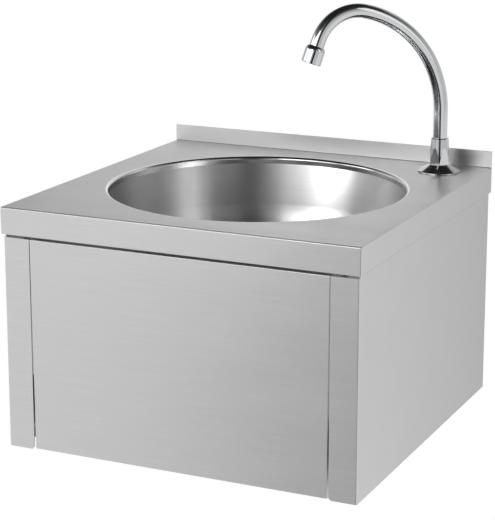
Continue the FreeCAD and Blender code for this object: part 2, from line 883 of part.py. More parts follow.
def mixer_body():
    wide = mixer_width / 2
    block = box(valve_x - wide, valve_x + wide, mixer_front, mixer_front + mixer_depth,
                mixer_foot, mixer_foot + mixer_height)
    block = block.makeFillet(mixer_edge, block.Edges)
    neck = rod(chamber_radius + mixer_neck_wall, mixer_foot - mixer_neck, mixer_foot + mixer_root,
               valve_x, mixer_y)
    legs = [rod(small_thread, mixer_foot - inlet_thread_length, mixer_foot + mixer_root, x, mixer_y)
            for x in inlet_places()]
    body = united(block, neck, *legs)
    cuts = [along_y(rod(small_thread + running, mixer_front - 1, mixer_front + mixer_thread + 0.5),
                    valve_x, valve_z),
            along_y(rod(port_radius, mixer_front, mixer_y), valve_x, valve_z),
            rod(chamber_radius, mixer_foot - mixer_neck - 1, valve_z + chamber_top, valve_x, mixer_y),
            along_x(rod(port_radius - 1, inlet_places()[0], inlet_places()[1]), mixer_y, valve_z)]
    cuts += [rod(port_radius, mixer_foot - inlet_thread_length - 1, valve_z, x, mixer_y)
             for x in inlet_places()]
    return body.cut(cuts)


def check_valves():
    low = mixer_foot - inlet_thread_length + 1
    bore = port_radius - check_valve_wall
    level = low + check_disc_level
    top = level + check_disc
    shell = [ring(port_radius - running, bore, low, low + check_valve_length, x, mixer_y)
             for x in inlet_places()]
    disc = [rod(bore - running, level, top, x, mixer_y) for x in inlet_places()]
    cross = [box(x - port_radius + 1, x + port_radius - 1, mixer_y - check_cross, mixer_y + check_cross,
                 top, top + check_disc) for x in inlet_places()]
    return Part.makeCompound([united(s, d, c) for s, d, c in zip(shell, disc, cross)])


def drum_foot():
    return valve_z + chamber_top - drum_top_gap - drum_height


def mixer_spindle():
    """Drum with a sector cut away, which shares the flow between the two inlets."""
    top = valve_z + chamber_top - drum_top_gap
    drum = rod(chamber_radius - running, drum_foot(), top, valve_x, mixer_y)
    drum = drum.cut(rod(port_radius - 0.5, drum_foot() + drum_floor, top + 1, valve_x, mixer_y))
    window = box(valve_x - chamber_radius, valve_x + chamber_radius, mixer_y - chamber_radius - 1,
                 mixer_y, drum_foot() + drum_floor, top + 1)
    stem = rod(spindle_radius, knob_top() - knob_height + knob_wall, drum_foot() + 1, valve_x, mixer_y)
    return united(drum.cut(window), stem)


def mixer_gland_foot():
    return mixer_foot - mixer_neck - mixer_gland_head


def knob_top():
    return mixer_gland_foot() - knob_gap


def spindle_gland():
    top = mixer_foot - mixer_neck
    thread = rod(chamber_radius - running, top, top + mixer_gland, valve_x, mixer_y)
    head = placed(hexagon(mixer_gland_flats, mixer_gland_foot(), top, mixer_gland_turn), valve_x, mixer_y)
    bore = rod(spindle_radius + running, mixer_gland_foot() - 1, top + mixer_gland + 1, valve_x, mixer_y)
    return united(thread, head).cut(bore)


def mixer_knob():
    foot = knob_top() - knob_height
    knob = rod(knob_radius, foot, knob_top(), valve_x, mixer_y)
    rims = [e for e in knob.Edges if e.Closed]
    knob = knob.makeFillet(knob_edge, rims)
    flutes = []
    out = knob_radius + flute_offset
    for k in range(knob_flutes):
        a = 2 * math.pi * k / knob_flutes
        flutes.append(rod(flute_radius, foot - 1, knob_top() - flute_top, valve_x + out * math.cos(a),
                          mixer_y + out * math.sin(a)))
    bore = rod(spindle_radius + running, foot + knob_wall, knob_top() + 1, valve_x, mixer_y)
    screw = rod(knob_screw_hole, foot - 1, foot + knob_wall + 1, valve_x, mixer_y)
    return knob.cut(flutes + [bore, screw])


def knob_screw():
    foot = knob_top() - knob_height
    head = foot - knob_screw_hole
    top = foot + knob_screw_length
    return turned([(0, head), (knob_screw_head, head), (knob_screw_head, foot), (knob_screw_radius, foot),
                   (knob_screw_radius, top), (0, top)], valve_x, mixer_y)


def hose_end(x, y, face, way, thread):
    """Seal, tail, ferrule and nut at a hose's end, on an upright axis, face towards -way."""
    def part(outline):
        return turned([(r, face + way * d) for r, d in outline], x, y)

    flange = hose_seal + 2.0
    lip = flange + running + hose_nut_wall
    start = lip + ferrule_gap
    neck = hose_bore + ferrule_wall
    rim = thread - ferrule_gap
    pieces = {
        "seal": part([(port_radius, 0), (rim, 0), (rim, hose_seal), (port_radius, hose_seal)]),
        "tail": part([(tail_hole, hose_seal), (rim, hose_seal), (rim, flange),
                      (neck, flange), (neck, start), (hose_bore - running, start),
                      (hose_bore - running, start + ferrule_length), (tail_hole, start + ferrule_length)]),
        "ferrule": part([(neck + running, start - 0.2), (ferrule_radius, start - 0.2),
                         (ferrule_radius, start + ferrule_length),
                         (hose_radius + running, start + ferrule_length),
                         (hose_radius + running, start - 0.1), (neck + running, start - 0.1)]),
    }
    bottom, top = sorted((face - way * hose_nut_reach, face + way * lip))
    nut = placed(hexagon(max(hose_nut_flats, 2 * thread + hose_nut_rim), bottom, top), x, y)
    start_bore = -hose_nut_reach - 1
    bore = part([(0, start_bore), (thread + running, start_bore), (thread + running, flange + running),
                 (0, flange + running)])
    hole = part([(0, 0), (neck + running, 0), (neck + running, lip + 1), (0, lip + 1)])
    pieces["nut"] = nut.cut(bore).cut(hole)
    return pieces, face + way * start


def hose_ends():
    low, low_start = hose_end(valve_x, outlet_y, outlet_tip, 1, small_thread)
    high, high_start = hose_end(spout_right, spout_y, shank_foot, -1, shank_radius)
    return low, high, low_start, high_start


def hose_pair(name):
    low, high = hose_ends()[:2]
    return Part.makeCompound([low[name], high[name]])


def supply_hose():
    """Hose held between the valve and the spout's shank: straight runs joined by arcs."""
    low_start, high_start = hose_ends()[2:]
    points = [V(valve_x, outlet_y, low_start), V(valve_x, outlet_y, hose_low_level),
              V(hose_side, bowl_y, hose_side_level), V(spout_right, spout_y, hose_rear_level),
              V(spout_right, spout_y, high_start)]
    edges = []
    radii = []
    start = points[0]
    for before, corner, after in zip(points, points[1:], points[2:]):
        back, ahead = before - corner, after - corner
        turn = math.pi - back.getAngle(ahead)
        reach = 0.45 * min(back.Length, ahead.Length)
        radius = reach / math.tan(turn / 2)
        back.normalize()
        ahead.normalize()
        depth = radius / math.cos(turn / 2) - radius
        middle = corner + (back + ahead).normalize() * depth
        edges.append(Part.makeLine(start, corner + back * reach))
        edges.append(Part.Arc(corner + back * reach, middle, corner + ahead * reach).toShape())
        start = corner + ahead * reach
        radii.append(round(radius, 1))
    edges.append(Part.makeLine(start, points[-1]))
    path = Part.Wire(edges)
    outer, inner = (
        path.makePipeShell([Part.Wire([Part.makeCircle(r, points[0], V(0, 0, 1))])], True, False)
        for r in (hose_radius, hose_bore))
    hose = outer.cut(inner)
    section = math.pi * (hose_radius ** 2 - hose_bore ** 2)
    print("hose radii", radii, "length", round(path.Length, 1),
          "volume over section times length", round(hose.Volume / section / path.Length, 4))
    return hose


def spout_direction():
    angle = math.radians(spout_azimuth)
    return V(math.cos(angle), math.sin(angle), 0)


def spout_point(r, height):
    return V(spout_right, spout_y, deck_top + height) + spout_direction() * r


def spout_bends():
    """Points along the spout's middle line as (reach, height above the deck), and its end heading."""
    def bend(centre, radius, turn):
        a = math.radians(turn)
        return (centre[0] - radius * math.cos(a), centre[1] + radius * math.sin(a))

    first = (bend_radius, bend_start)
    knee = bend(first, bend_radius, bend_angle)
    a = math.radians(bend_angle)
    second = (knee[0] + crook_radius * math.cos(a), knee[1] - crook_radius * math.sin(a))
    end = math.radians(spout_turn)
    return {
        "start": (0, bend_start),
        "first_middle": bend(first, bend_radius, bend_angle / 2),
        "knee": knee,
        "second_middle": bend(second, crook_radius, (bend_angle + spout_turn) / 2),
        "end": bend(second, crook_radius, spout_turn),
        "heading": (math.sin(end), math.cos(end)),
    }


def mouth():
    """Middle of the spout's mouth, and the heading from it back up the nozzle."""
    bends = spout_bends()
    heading = spout_direction() * bends["heading"][0] + V(0, 0, bends["heading"][1])
    return spout_point(*bends["end"]) + heading * mouth_straight, heading * -1


def at_mouth(shape):
    place, upstream = mouth()
    moved = shape.copy()
    moved.Placement = FreeCAD.Placement(place, FreeCAD.Rotation(V(0, 0, 1), upstream))
    return moved


def spout_tube():
    bends = {k: spout_point(*v) for k, v in spout_bends().items() if k != "heading"}
    place, upstream = mouth()
    foot = V(spout_right, spout_y, collar_head)
    path = Part.Wire([
        Part.makeLine(foot, bends["start"]),
        Part.Arc(bends["start"], bends["first_middle"], bends["knee"]).toShape(),
        Part.Arc(bends["knee"], bends["second_middle"], bends["end"]).toShape(),
        Part.makeLine(bends["end"], place + upstream * nozzle_socket)])
    outer = path.makePipeShell([Part.Wire([Part.makeCircle(tube_radius, foot, V(0, 0, 1))])], True, False)
    inner = path.makePipeShell(
        [Part.Wire([Part.makeCircle(tube_radius - tube_wall, foot, V(0, 0, 1))])], True, False)
    return outer.cut(inner)


def spout_spigot():
    """Turned foot of the tube: it turns in the shank, and its collar sits under the union nut."""
    r = shank_radius - shank_socket_wall - running
    bore = shank_bore - spigot_bore_step
    groove = r - 2 * spout_oring_radius - 0.04
    foot = collar_foot - spigot_depth
    plug = tube_radius - tube_wall - running
    outline = [(bore, foot), (r, foot)]
    for z in oring_levels():
        low, high = z - oring_groove / 2, z + oring_groove / 2
        outline += [(r, low), (groove, low), (groove, high), (r, high)]
    outline += [(r, collar_foot), (collar_radius, collar_foot), (collar_radius, collar_head),
                (plug, collar_head), (plug, collar_head + spigot_plug), (bore, collar_head + spigot_plug)]
    return turned(outline, spout_right, spout_y)


def oring_levels():
    return [collar_foot - spigot_depth + oring_low, collar_foot - spigot_depth + oring_high]


def spout_orings():
    middle = shank_radius - shank_socket_wall - running - spout_oring_radius
    rings = [Part.makeTorus(middle, spout_oring_radius - 0.02, V(spout_right, spout_y, z))
             for z in oring_levels()]
    return Part.makeCompound(rings)


def seal_top():
    return nozzle_socket - 2 * running


def spout_nozzle():
    top = (tube_radius + 0.4, nozzle_length)
    shoulder = Part.Arc(V(nozzle_radius, 0, nozzle_body),
                        V((nozzle_radius + top[0]) / 2 + 0.55, 0, (nozzle_body + nozzle_length) / 2 + 0.45),
                        V(top[0], 0, top[1])).toShape()
    inner = tube_radius + running
    ledge = inner - nozzle_step
    corners = [(top[0], top[1]), (inner, top[1]), (inner, nozzle_socket), (ledge, nozzle_socket),
               (ledge, seal_top()), (aerator_radius + running, seal_top()),
               (aerator_radius + running, 0), (nozzle_radius - 0.5, 0), (nozzle_radius, 0.5),
               (nozzle_radius, nozzle_body)]
    lines = [Part.makeLine(V(a[0], 0, a[1]), V(b[0], 0, b[1])) for a, b in zip(corners, corners[1:])]
    profile = Part.Face(Part.Wire([shoulder] + lines))
    return at_mouth(profile.revolve(V(), V(0, 0, 1), 360))


def aerator():
    """Plastic insert with a perforated face."""
    low = seal_top() - aerator_seal - aerator_length
    body = ring(aerator_radius, aerator_radius - aerator_wall, low, low + aerator_length)
    plate = rod(aerator_radius - 1, low + 1, low + 1 + aerator_plate)
    holes = []
    for radius, count in aerator_rings:
        for k in range(count):
            a = 2 * math.pi * k / count
            holes.append(rod(aerator_hole_radius, low, low + 2 + aerator_plate,
                             radius * math.cos(a), radius * math.sin(a)))
    return at_mouth(united(body, plate).cut(holes))


def aerator_seal_ring():
    top = seal_top()
    return at_mouth(ring(aerator_radius - 0.2, aerator_seal_bore, top - aerator_seal, top))


def spout_flange():
    top = deck_top + flange_height
    pocket = top - shank_shoulder
    return turned([
        (flange_radius - 2, deck_top), (flange_radius - 0.3, deck_top), (flange_radius, deck_top + 0.3),
        (flange_radius, deck_top + flange_lip - 0.3), (flange_radius - 0.4, deck_top + flange_lip),
        (nut_foot_radius + 0.2, top - 0.3), (nut_foot_radius, top),
        (shank_shoulder_radius + running, top), (shank_shoulder_radius + running, pocket),
        (shank_radius + running, pocket), (shank_radius + running, deck_top + gasket_height),
        (flange_radius - 2, deck_top + gasket_height)], spout_right, spout_y)


def spout_gasket():
    return ring(flange_radius - 2 - running, shank_radius + running, deck_top,
                deck_top + gasket_height, spout_right, spout_y)


def spout_shank():
    """Threaded stem through the deck, with a socket for the spout's foot."""
    top = deck_top + flange_height
    socket = shank_radius - shank_socket_wall
    floor = collar_foot - spigot_depth - 1
    return turned([
        (shank_bore, shank_foot), (shank_radius, shank_foot), (shank_radius, top - shank_shoulder),
        (shank_shoulder_radius, top - shank_shoulder), (shank_shoulder_radius, top),
        (shank_radius, top), (shank_radius, shank_rim), (socket, shank_rim), (socket, floor),
        (shank_bore, floor)], spout_right, spout_y)


def spout_union_nut():
    foot = deck_top + flange_height + running
    top = foot + nut_length
    lip = collar_head + collar_play
    cone = turned([
        (shank_radius + running, foot), (nut_foot_radius, foot), (nut_top_radius, top - 0.8),
        (nut_top_radius - 0.7, top), (tube_radius + 0.1, top), (tube_radius + 0.1, lip),
        (collar_radius + 0.1, lip), (collar_radius + 0.1, shank_rim + 0.1),
        (shank_radius + running, shank_rim + 0.1)])
    return placed(cone.common(hexagon(nut_hex_flats, foot, top, nut_hex_turn)), spout_right, spout_y)


def shank_washer():
    return ring(shank_washer_radius, shank_radius + running, deck_under - shank_washer_height, deck_under,
                spout_right, spout_y)


def shank_locknut():
    high = deck_under - shank_washer_height
    nut = hexagon(shank_nut_flats, high - shank_nut_height, high)
    nut = nut.cut(rod(shank_radius + running, high - shank_nut_height - 1, high + 1))
    return placed(nut, spout_right, spout_y)


def strainer():
    """Perforated plate over the drain, with a ring that centres it in the waste."""
    plate = turned([
        (0, strainer_under), (spigot_radius - spigot_wall, strainer_under),
        (spigot_radius - spigot_wall, strainer_under - spigot_length),
        (spigot_radius, strainer_under - spigot_length), (spigot_radius, strainer_under),
        (strainer_radius, strainer_under), (strainer_radius, strainer_top - 1),
        (strainer_radius - 1, strainer_top), (0, strainer_top)])
    holes = []
    for radius, count in strainer_rings:
        for k in range(count):
            a = 2 * math.pi * (k + 0.5) / count
            holes.append(rod(strainer_hole_radius, strainer_under - 1, strainer_top + 1,
                             radius * math.cos(a), radius * math.sin(a)))
    seat = turned([(0, strainer_under - 1), (waste_screw_radius + running, strainer_under - 1),
                   (waste_screw_radius + running, strainer_top - waste_screw_cone),
                   (waste_screw_head + running, strainer_top), (0, strainer_top)])
    return placed(plate.cut(holes + [seat]), 0, bowl_y)


def strainer_screw():
    foot = cup_floor - 1
    screw = turned([
        (0, foot), (waste_screw_radius, foot), (waste_screw_radius, strainer_top - waste_screw_cone),
        (waste_screw_head, strainer_top), (0, strainer_top)])
    slot = box(-waste_screw_head, waste_screw_head, -screw_slot / 2, screw_slot / 2,
               strainer_top - 1, strainer_top + 1)
    return placed(screw.cut(slot), 0, bowl_y)


def strainer_seal_ring():
    return ring(strainer_radius - 1, drain_radius + 1, recess_floor, strainer_under, 0, bowl_y)


def waste_seal_ring():
    return ring(waste_flange_radius - 1, drain_radius + 1, waste_top, waste_top + waste_seal, 0, bowl_y)


def waste_body():
    """Cup and threaded tail under the bowl, with a web for the strainer's screw."""
    wall = waste_wall
    shell = turned([
        (spigot_radius + 0.4, waste_top), (waste_flange_radius, waste_top),
        (waste_flange_radius, cup_top), (cup_radius, cup_top), (cup_radius, cup_floor + wall),
        (tail_radius, cup_floor - 1), (tail_radius, tail_foot), (tail_bore, tail_foot),
        (tail_bore, cup_floor), (spigot_radius + 0.4, cup_floor + wall + 1)])
    web = box(-tail_bore - 1, tail_bore + 1, -web_width / 2, web_width / 2, cup_floor - 2,
              cup_floor - 2 + web_height)
    boss = rod(web_width / 2 + 1, cup_floor - 2, cup_floor + web_height)
    web = web.common(rod(tail_bore + 1, cup_floor - 3, cup_floor + web_height))
    bore = rod(waste_screw_radius + running, cup_floor - 3, cup_floor + web_height + 1)
    return placed(united(shell, web, boss).cut(bore), 0, bowl_y)


def ribbed_nut(outer, inner, lip_inner, foot, lip, top, ribs):
    """Round plastic nut with grip ribs, a thread bore and a lip at its foot."""
    nut = turned([(lip_inner, foot), (outer - 1, foot), (outer, foot + 1), (outer, top - 1),
                  (outer - 1, top), (inner, top), (inner, foot + lip), (lip_inner, foot + lip)])
    grips = []
    for k in range(ribs):
        a = 2 * math.pi * k / ribs
        out = outer + rib_radius / 2
        grips.append(rod(rib_radius, foot - 1, top + 1, out * math.cos(a), out * math.sin(a)))
    return nut.cut(grips)


def trap_seal_ring():
    return ring(tail_radius - 0.5, tail_bore, trap_top, tail_foot, 0, bowl_y)


def trap_nut():
    foot = trap_top - trap_nut_lip - 2
    nut = ribbed_nut(trap_nut_radius, tail_radius + running, trap_neck_radius + 0.1, foot,
                     trap_nut_lip, foot + trap_nut_height, nut_ribs)
    return placed(nut, 0, bowl_y)


def trap_body():
    """Bottle trap's body with its dip tube and side outlet."""
    neck = ring(trap_neck_radius, trap_neck_bore, trap_shoulder - 1, trap_top)
    collar = ring(tail_radius - 0.3, trap_neck_bore, trap_top - 2, trap_top)
    bottle = turned([
        (trap_neck_bore, trap_shoulder), (trap_radius - 2, trap_shoulder), (trap_radius, trap_shoulder - 2),
        (trap_radius, trap_foot), (trap_radius - trap_wall, trap_foot),
        (trap_radius - trap_wall, trap_shoulder - trap_wall), (trap_neck_bore, trap_shoulder - trap_wall)])
    dip = ring(trap_neck_radius - 0.7, trap_neck_bore, trap_foot - dip_below_body, trap_shoulder)
    body = placed(united(bottle, neck, collar, dip), 0, bowl_y)
    keep_dip = rod(trap_neck_radius - 0.7, trap_foot - dip_below_body - 1, trap_shoulder + 1, 0, bowl_y)
    start = bowl_y + trap_radius - trap_wall
    branch = along_y(rod(tail_radius, start, outlet_mouth), 0, outlet_z)
    branch = branch.cut(rod(trap_radius - trap_wall, trap_foot - 1, trap_shoulder + 1, 0, bowl_y))
    bore = along_y(rod(pipe_radius - pipe_wall, bowl_y, outlet_mouth + 1), 0, outlet_z).cut(keep_dip)
    socket = along_y(rod(pipe_radius + running, outlet_mouth - outlet_socket, outlet_mouth + 1), 0, outlet_z)
    return united(body, branch).cut(bore).cut(socket)


def trap_cup():
    """Screw-on cleaning cup, with grip lugs."""
    rim = trap_foot + cup_skirt
    step = trap_foot - trap_cup_seal
    foot = step - trap_cup_height
    cup = turned([
        (0, foot), (trap_cup_radius - cup_floor_wall, foot), (trap_cup_radius, foot + cup_floor_wall),
        (trap_cup_radius, rim),
        (trap_radius + running, rim), (trap_radius + running, step), (trap_radius - trap_wall, step),
        (trap_radius - trap_wall, foot + cup_floor_wall), (0, foot + cup_floor_wall)])
    grips = []
    for k in range(cup_lugs):
        a = 2 * math.pi * k / cup_lugs
        grips.append(rod(2.0, foot - 1, rim + 1, (trap_cup_radius + 0.8) * math.cos(a),
                         (trap_cup_radius + 0.8) * math.sin(a)))
    return placed(cup.cut(grips), 0, bowl_y)


def trap_cup_seal_ring():
    return ring(trap_radius - running, trap_radius - trap_wall, trap_foot - trap_cup_seal, trap_foot, 0, bowl_y)


def outlet_seal_ring():
    seal = ring(tail_radius - 0.5, pipe_radius + running, outlet_mouth, outlet_mouth + outlet_seal)
    return along_y(seal, 0, outlet_z)


def outlet_nut():
    # the lip is on the far side, so the nut is made upside down
    foot = -(outlet_mouth + outlet_seal + outlet_nut_lip)
    nut = ribbed_nut(trap_nut_radius, tail_radius + running, pipe_radius + 0.2, foot, outlet_nut_lip,
                     foot + outlet_nut_length, nut_ribs)
    nut.rotate(V(), V(1, 0, 0), 180)
    return along_y(nut, 0, outlet_z)


def outlet_pipe():
    start = outlet_mouth - outlet_socket + 0.2
    bead = -pipe_bead
    pipe = turned([
        (pipe_radius - pipe_wall, start), (pipe_radius, start), (pipe_radius, bead - bead_width),
        (bead_radius, bead - bead_width + 1), (bead_radius, bead - 1), (pipe_radius, bead),
        (pipe_radius, 0), (pipe_radius - pipe_wall, 0)])
    return along_y(pipe, 0, outlet_z)


pieces = {
    "deck": deck,
    "bowl": bowl,
    "casing_right": casing_side,
    "casing_left": lambda: mirrored(casing_side()),
    "rear_rail": rear_rail,
    "valve_rail": valve_rail,
    "lip_studs": lip_studs,
    "lip_washers": lip_washers,
    "lip_nuts": lip_nuts,
    "knee_panel": knee_panel,
    "panel_stiffener": panel_stiffener,
    "push_pad": push_pad,
    "stop_tabs": stop_tabs,
    "stop_buffers": stop_buffers,
    "hinge_brackets": hinge_brackets,
    "hinge_rod": hinge_rod,
    "hinge_clips": hinge_clips,
    "hinge_bushes": hinge_bushes,
    "knee_valve_body": knee_valve_body,
    "valve_gland": valve_gland,
    "valve_stem_seal": valve_stem_seal,
    "valve_washer": valve_washer,
    "valve_locknut": valve_locknut,
    "valve_button": valve_button,
    "poppet": poppet,
    "poppet_seal": poppet_seal_ring,
    "valve_spring": valve_spring,
    "valve_nipple": valve_nipple,
    "mixer_body": mixer_body,
    "check_valves": check_valves,
    "mixer_spindle": mixer_spindle,
    "spindle_gland": spindle_gland,
    "mixer_knob": mixer_knob,
    "knob_screw": knob_screw,
    "supply_hose": supply_hose,
    "hose_seals": lambda: hose_pair("seal"),
    "hose_tails": lambda: hose_pair("tail"),
    "hose_ferrules": lambda: hose_pair("ferrule"),
    "hose_nuts": lambda: hose_pair("nut"),
    "spout_tube": spout_tube,
    "spout_spigot": spout_spigot,
    "spout_orings": spout_orings,
    "spout_nozzle": spout_nozzle,
    "aerator": aerator,
    "aerator_seal": aerator_seal_ring,
    "spout_flange": spout_flange,
    "spout_gasket": spout_gasket,
    "spout_shank": spout_shank,
    "spout_union_nut": spout_union_nut,
    "shank_washer": shank_washer,
    "shank_locknut": shank_locknut,
    "strainer": strainer,
    "strainer_screw": strainer_screw,
    "waste_seals": lambda: Part.makeCompound([strainer_seal_ring(), waste_seal_ring()]),
    "waste_body": waste_body,
    "trap_seals": lambda: Part.makeCompound([trap_seal_ring(), trap_cup_seal_ring(), outlet_seal_ring()]),
    "trap_nuts": lambda: Part.makeCompound([trap_nut(), outlet_nut()]),
    "trap_body": trap_body,
    "trap_cup": trap_cup,
    "outlet_pipe": outlet_pipe,
}

os.makedirs("parts", exist_ok=True)
for name, make in pieces.items():
    shape = make()
    solids = shape.Solids
    if not solids or not shape.isValid() or any(solid.Volume <= 0 for solid in solids):
        raise ValueError("bad shape: " + name)
    shape.exportStep("parts/" + name + ".step")
    print(name, len(solids), round(shape.Volume / 1000, 2), "cm3")
print("hinge axis y, z:", round(hinge_y, 2), round(hinge_z, 2), "valve z:", round(valve_z, 2))
print("spout mouth:", [round(v, 1) for v in mouth()[0]])
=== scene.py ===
import bpy, json, math
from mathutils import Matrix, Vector


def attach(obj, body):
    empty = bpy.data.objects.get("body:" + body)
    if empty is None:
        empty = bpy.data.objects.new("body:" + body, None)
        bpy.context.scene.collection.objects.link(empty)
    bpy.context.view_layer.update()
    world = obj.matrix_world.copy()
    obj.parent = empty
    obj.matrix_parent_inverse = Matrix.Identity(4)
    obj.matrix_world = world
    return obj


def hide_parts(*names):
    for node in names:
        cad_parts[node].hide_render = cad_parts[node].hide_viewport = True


# A wall-hung hand wash basin in satin stainless steel. The knee panel at the front works the valve.
# Metres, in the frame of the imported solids: X to the user's right, Y into the wall, Z up.

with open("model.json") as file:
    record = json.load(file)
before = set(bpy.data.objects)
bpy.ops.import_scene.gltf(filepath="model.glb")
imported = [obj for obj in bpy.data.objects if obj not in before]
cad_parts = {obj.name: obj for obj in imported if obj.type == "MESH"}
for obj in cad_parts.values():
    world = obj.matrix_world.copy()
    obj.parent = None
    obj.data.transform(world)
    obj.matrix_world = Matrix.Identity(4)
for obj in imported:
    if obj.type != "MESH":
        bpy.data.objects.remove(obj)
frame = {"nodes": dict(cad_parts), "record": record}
bpy.context.view_layer.update()
nodes = frame["nodes"]
print("frame loaded:", len(nodes), "nodes")


viewpoint = {
    "place": (0.8104, -1.9647, 0.5807),
    "turn": -0.4360,         # radians from straight ahead, towards the left
    "tilt": 0.2300,          # radians below level
    "shift": -0.100,         # of the frame's long side
    "focalPixels": 1840.7,   # for a frame 520 pixels high
    "longSide": 520,
    "sensor": 36.0,
    "near": 0.05,
    "far": 60.0,
}


def aimCamera(v):
    camera = bpy.data.objects.new("camera", bpy.data.cameras.new("camera"))
    bpy.context.scene.collection.objects.link(camera)
    camera.location = v["place"]
    ahead = Vector((math.sin(v["turn"]) * math.cos(v["tilt"]),
                    math.cos(v["turn"]) * math.cos(v["tilt"]), -math.sin(v["tilt"])))
    camera.rotation_mode = "QUATERNION"
    camera.rotation_quaternion = ahead.to_track_quat("-Z", "Y")
    camera.data.sensor_width = v["sensor"]
    camera.data.lens = v["focalPixels"] * v["sensor"] / v["longSide"]
    camera.data.shift_y = v["shift"]
    camera.data.clip_start, camera.data.clip_end = v["near"], v["far"]
    bpy.context.scene.camera = camera


def addNode(tree, kind, inputs=None, **settings):
    node = tree.nodes.new(kind)
    for name, value in settings.items():
        setattr(node, name, value)
    for name, value in (inputs or {}).items():
        if isinstance(value, bpy.types.NodeSocket):
            tree.links.new(value, node.inputs[name])
        else:
            node.inputs[name].default_value = value
    return node


def addMath(tree, operation, *values):
    return addNode(tree, "ShaderNodeMath", dict(enumerate(values)), operation=operation).outputs[0]


def addVector(tree, operation, first, second=None):
    # the number that SCALE takes has a socket of its own
    inputs = {0: first}
    if second is not None:
        inputs[3 if operation == "SCALE" else 1] = second
    made = addNode(tree, "ShaderNodeVectorMath", inputs, operation=operation)
    return made.outputs["Value" if operation in ("LENGTH", "DOT_PRODUCT") else "Vector"]


def objectPlace(tree):
    return addNode(tree, "ShaderNodeTexCoord").outputs["Object"]


def hexColour(text):
    parts = [int(text[i:i + 2], 16) / 255 for i in (1, 3, 5)]
    linear = [c / 12.92 if c <= 0.04045 else ((c + 0.055) / 1.055) ** 2.4 for c in parts]
    return (*linear, 1.0)


aimCamera(viewpoint)
bpy.context.scene.view_settings.view_transform = "Standard"

studio = {
    "diffuseSky": 0.55,      # what matt surfaces get from all round
    "floorLevel": -2.6,      # low enough to look up at the hung basin from under it
    "floorSize": 30,         # far enough to have no edge in any view
    "floorColour": "#E6E6E6",
    "floorGlow": 0.8,        # share of the floor that is plain white to the eye; the rest takes the shadow
    "floorWhite": 1.15,
    "room": [
        # height of the direction (sine of its elevation), brightness of the studio there
        (-1.0, 0.75), (-0.3, 0.80), (0.1, 0.70), (0.30, 0.55),
        (0.45, 0.25), (0.65, 0.06), (0.85, 0.02), (1.0, 0.02),
    ],
    "lamps": [
        # name, place, aimed at, width, height, watts
        ("keyLamp", (-1.05, -1.15, 0.95), (0, -0.2, 0.1), 0.55, 1.3, 14.0),
        ("topLamp", (-0.3, 0.2, 1.9), (0, -0.2, 0.1), 1.0, 1.0, 3.0),
    ],
    # a flagged soft box that reaches the bowl alone: the glow on the right of its wall
    "bowlLamp": ("bowlLamp", (-0.60, -1.20, 0.56), (0.05, -0.08, 0.08), 1.3, 0.8, 27.0),
    "cards": [
        # name, middle, facing, width, height, then (x, brightness) from left to right
        ("frontCard", (0.20, -1.30, -0.40), (0, 1, 0), 2.8, 1.0,
         ((-1.2, 0.96), (-0.7, 0.88), (-0.45, 0.78), (-0.3, 0.52), (-0.2, 0.38), (0.44, 0.31),
          (0.45, 0.02), (0.83, 0.02), (0.84, 0.9), (1.6, 1.0))),
        ("gapCard", (0.63, -1.31, 0.80), (0, 1, 0), 0.50, 3.3, ((0.38, 0.02), (0.88, 0.02))),
        ("bandCard", (-0.40, -1.31, 0.19), (0, 1, 0), 1.6, 0.19,
         ((-1.2, 0.3), (-0.75, 0.4), (-0.5, 0.8), (-0.2, 0.95), (0.4, 0.5))),
        ("softBox", (-0.51, -1.28, 0.62), (0, 1, 0), 1.18, 0.66,
         ((-1.1, 1.9), (-0.76, 2.2), (-0.6, 2.4), (-0.4, 3.0), (0.08, 3.0))),
        ("leftCard", (-1.30, -0.75, 0.60), (1, 0, 0), 0.9, 0.7, ((-1.3, 2.0), (-1.2, 2.0))),
        ("rightCard", (1.30, -0.30, 0.80), (-1, 0, 0), 0.45, 1.2, ((1.2, 1.3), (1.4, 1.3))),
        ("backCard", (0.0, 1.10, 0.30), (0, -1, 0), 2.4, 2.3,
         ((-1.2, 0.9), (-0.8, 0.92), (-0.6, 1.12), (-0.2, 0.85), (0.5, 0.45), (0.6, 0.61),
          (0.8, 0.97), (1.2, 1.0))),
    ],
}


def seenRays(tree):
    path = addNode(tree, "ShaderNodeLightPath").outputs
    seen = addMath(tree, "MAXIMUM", path["Is Camera Ray"], path["Is Glossy Ray"])
    return addMath(tree, "MAXIMUM", seen, path["Is Transmission Ray"])


def levelRamp(tree, share, stops):
    first, last = stops[0][0], stops[-1][0]
    ramp = addNode(tree, "ShaderNodeValToRGB", {"Fac": share})
    for i, (x, level) in enumerate(stops):
        if i in (0, len(stops) - 1):
            stop = ramp.color_ramp.elements[0 if i == 0 else -1]
            stop.position = 0.0 if i == 0 else 1.0
        else:
            stop = ramp.color_ramp.elements.new((x - first) / (last - first))
        stop.color = (level, level, level, 1)
    return ramp.outputs["Color"]


